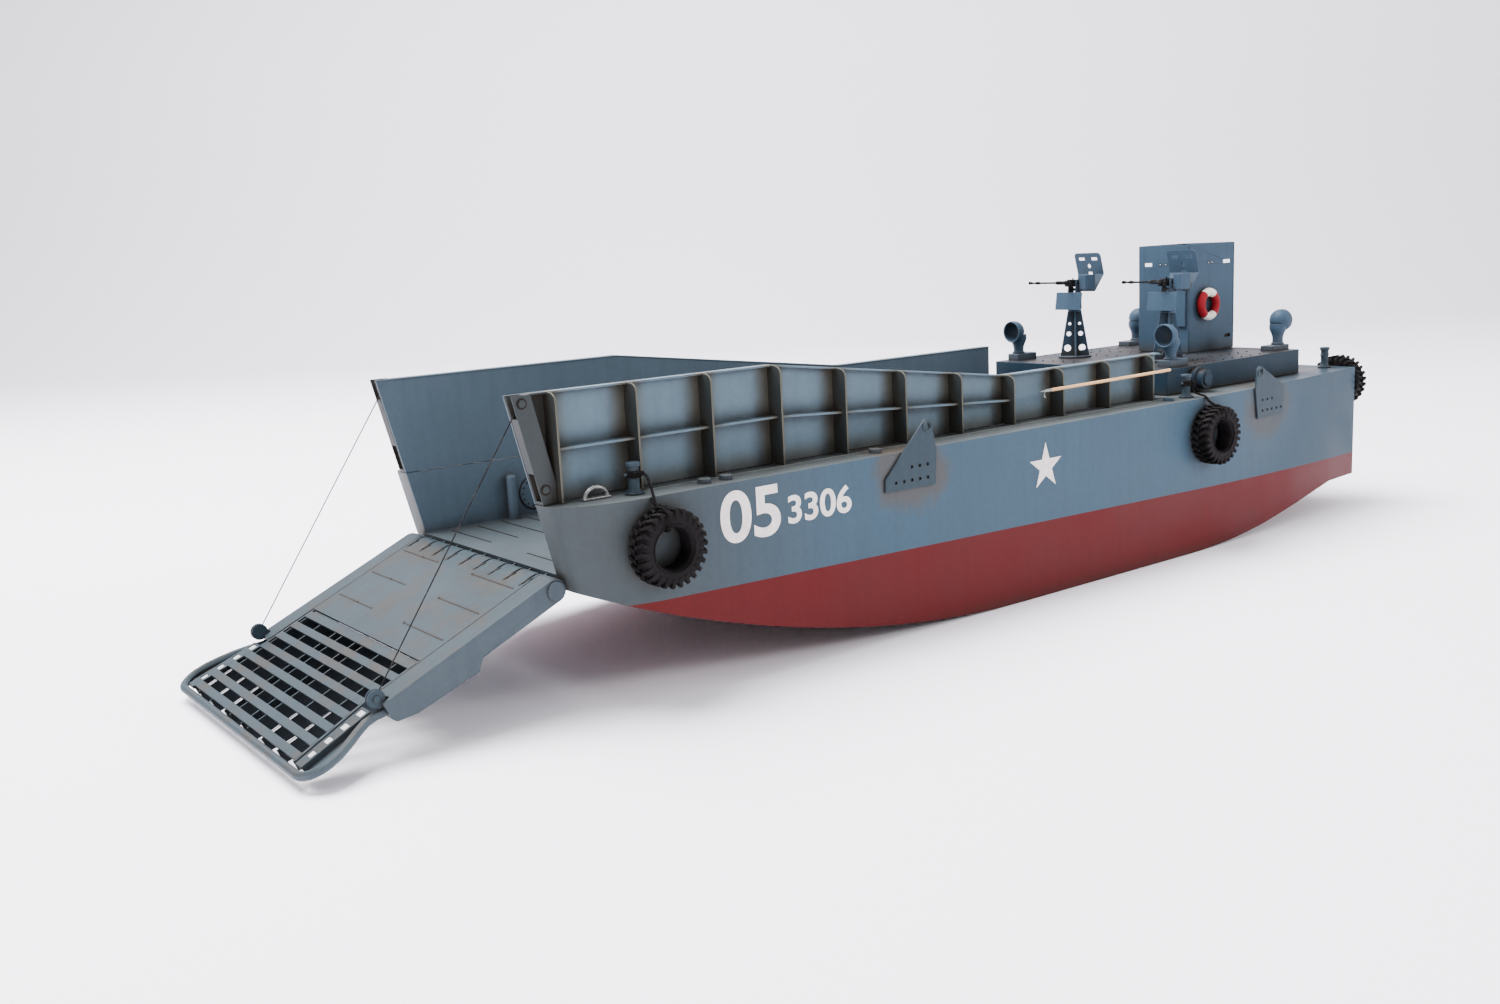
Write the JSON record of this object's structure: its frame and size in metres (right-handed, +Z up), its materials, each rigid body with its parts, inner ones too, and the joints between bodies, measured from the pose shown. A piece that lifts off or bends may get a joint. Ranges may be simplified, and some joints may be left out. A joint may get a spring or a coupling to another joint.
{
  "type": "scale model of a military landing craft",
  "caption": "Desk model of a flat-bottomed tank landing craft with a hinged bow ramp, open cargo well, aft pilothouse, trained gun mounts, propellers and rudders.",
  "frame": {"origin": "on the flat of the bottom, on the centreline, amidships", "axes": "+X to the bow, +Y to port, +Z up"},
  "size_m": [1.0822, 0.302, 0.2605],
  "materials": {
    "propeller_bronze": "polished bronze",
    "bulwark_paint": "satin blue-grey, darkened corners",
    "deckhouse_paint": "satin blue-grey, brown tints",
    "fitting_paint": "satin dark blue-grey",
    "gun_black": "satin black",
    "hull_paint": "satin blue-grey over red-brown bottom paint, weathered",
    "ramp_paint": "satin blue-grey, worn",
    "ring_white": "white with red quarters",
    "cable_steel": "dark wire",
    "tyre_rubber": "matt brown-black",
    "pole_wood": "pale wood"
  },
  "bodies": {
    "hull": {"bitt_bow_port": "fitting_paint", "bitt_bow_stbd": "fitting_paint", "bitt_mid_port": "fitting_paint", "bitt_mid_stbd": "fitting_paint", "bitt_stern_port": "fitting_paint", "bitt_stern_stbd": "fitting_paint", "boat_hook": "pole_wood", "bulwark_port": "bulwark_paint", "bulwark_stbd": "bulwark_paint", "engine_trunk": "deckhouse_paint", "fairlead_port": "fitting_paint", "fairlead_stbd": "fitting_paint", "gun_pedestal_port": "deckhouse_paint", "gun_pedestal_stbd": "deckhouse_paint", "hinge_pin": "ramp_paint", "hull": "hull_paint", "life_ring_port": "ring_white", "life_ring_stbd": "ring_white", "lifting_plate_aft_port": "fitting_paint", "lifting_plate_aft_stbd": "fitting_paint", "lifting_plate_fore_port": "fitting_paint", "lifting_plate_fore_stbd": "fitting_paint", "pilothouse_aft": "deckhouse_paint", "pilothouse_front": "deckhouse_paint", "pilothouse_port": "deckhouse_paint", "pilothouse_stbd": "deckhouse_paint", "ramp_cable_port": "cable_steel", "ramp_cable_stbd": "cable_steel", "ramp_post_port": "bulwark_paint", "ramp_post_stbd": "bulwark_paint", "side_drum_port": "deckhouse_paint", "side_drum_stbd": "deckhouse_paint", "tyre_fore_port": "tyre_rubber", "tyre_fore_stbd": "tyre_rubber", "tyre_mid_port": "tyre_rubber", "tyre_mid_stbd": "tyre_rubber", "tyre_transom_port": "tyre_rubber", "tyre_transom_stbd": "tyre_rubber", "vent_aft_port": "deckhouse_paint", "vent_aft_stbd": "deckhouse_paint", "vent_fore_port": "deckhouse_paint", "vent_fore_stbd": "deckhouse_paint"},
    "ramp": {"ramp_grating": "ramp_paint", "ramp_plate": "ramp_paint", "ramp_rail_port": "ramp_paint", "ramp_rail_stbd": "ramp_paint", "ramp_toe": "ramp_paint", "sheave_port": "fitting_paint", "sheave_stbd": "fitting_paint"},
    "gun_train_port": {"gun_head_port": "deckhouse_paint"},
    "gun_elevation_port": {"gun_port": "gun_black"},
    "screw_port": {"propeller_port": "propeller_bronze"},
    "rudder_port": {"rudder_port": "hull_paint"},
    "gun_train_stbd": {"gun_head_stbd": "deckhouse_paint"},
    "gun_elevation_stbd": {"gun_stbd": "gun_black"},
    "screw_stbd": {"propeller_stbd": "propeller_bronze"},
    "rudder_stbd": {"rudder_stbd": "hull_paint"}
  },
  "joints": [
    {"name": "ramp_hinge", "type": "hinge", "parent": "hull", "child": "ramp", "pos_m": [0.437, 0, 0.0805], "axis": [0, -1, 0], "range_deg": [0, 101.1], "deforming": ["ramp_cable_port", "ramp_cable_stbd"]},
    {"name": "gun_train_port", "type": "hinge", "parent": "hull", "child": "gun_train_port", "pos_m": [-0.2435, 0.054, 0.2033], "axis": [0, 0, 1], "range_deg": [-50, 150]},
    {"name": "gun_elevation_port", "type": "hinge", "parent": "gun_train_port", "child": "gun_elevation_port", "pos_m": [-0.2435, 0.054, 0.2288], "axis": [0, -1, 0], "range_deg": [-10, 30]},
    {"name": "propeller_port", "type": "hinge", "parent": "hull", "child": "screw_port", "pos_m": [-0.418, 0.06, 0.0205], "axis": [1, 0, 0], "continuous": true},
    {"name": "rudder_port", "type": "hinge", "parent": "hull", "child": "rudder_port", "pos_m": [-0.44, 0.06, 0.03], "axis": [0, 0, 1], "range_deg": [-35, 35]},
    {"name": "gun_train_stbd", "type": "hinge", "parent": "hull", "child": "gun_train_stbd", "pos_m": [-0.2435, -0.054, 0.2033], "axis": [0, 0, 1], "range_deg": [-150, 50]},
    {"name": "gun_elevation_stbd", "type": "hinge", "parent": "gun_train_stbd", "child": "gun_elevation_stbd", "pos_m": [-0.2435, -0.054, 0.2288], "axis": [0, -1, 0], "range_deg": [-10, 30]},
    {"name": "propeller_stbd", "type": "hinge", "parent": "hull", "child": "screw_stbd", "pos_m": [-0.418, -0.06, 0.0205], "axis": [1, 0, 0], "continuous": true},
    {"name": "rudder_stbd", "type": "hinge", "parent": "hull", "child": "rudder_stbd", "pos_m": [-0.44, -0.06, 0.03], "axis": [0, 0, 1], "range_deg": [-35, 35]}
  ]
}
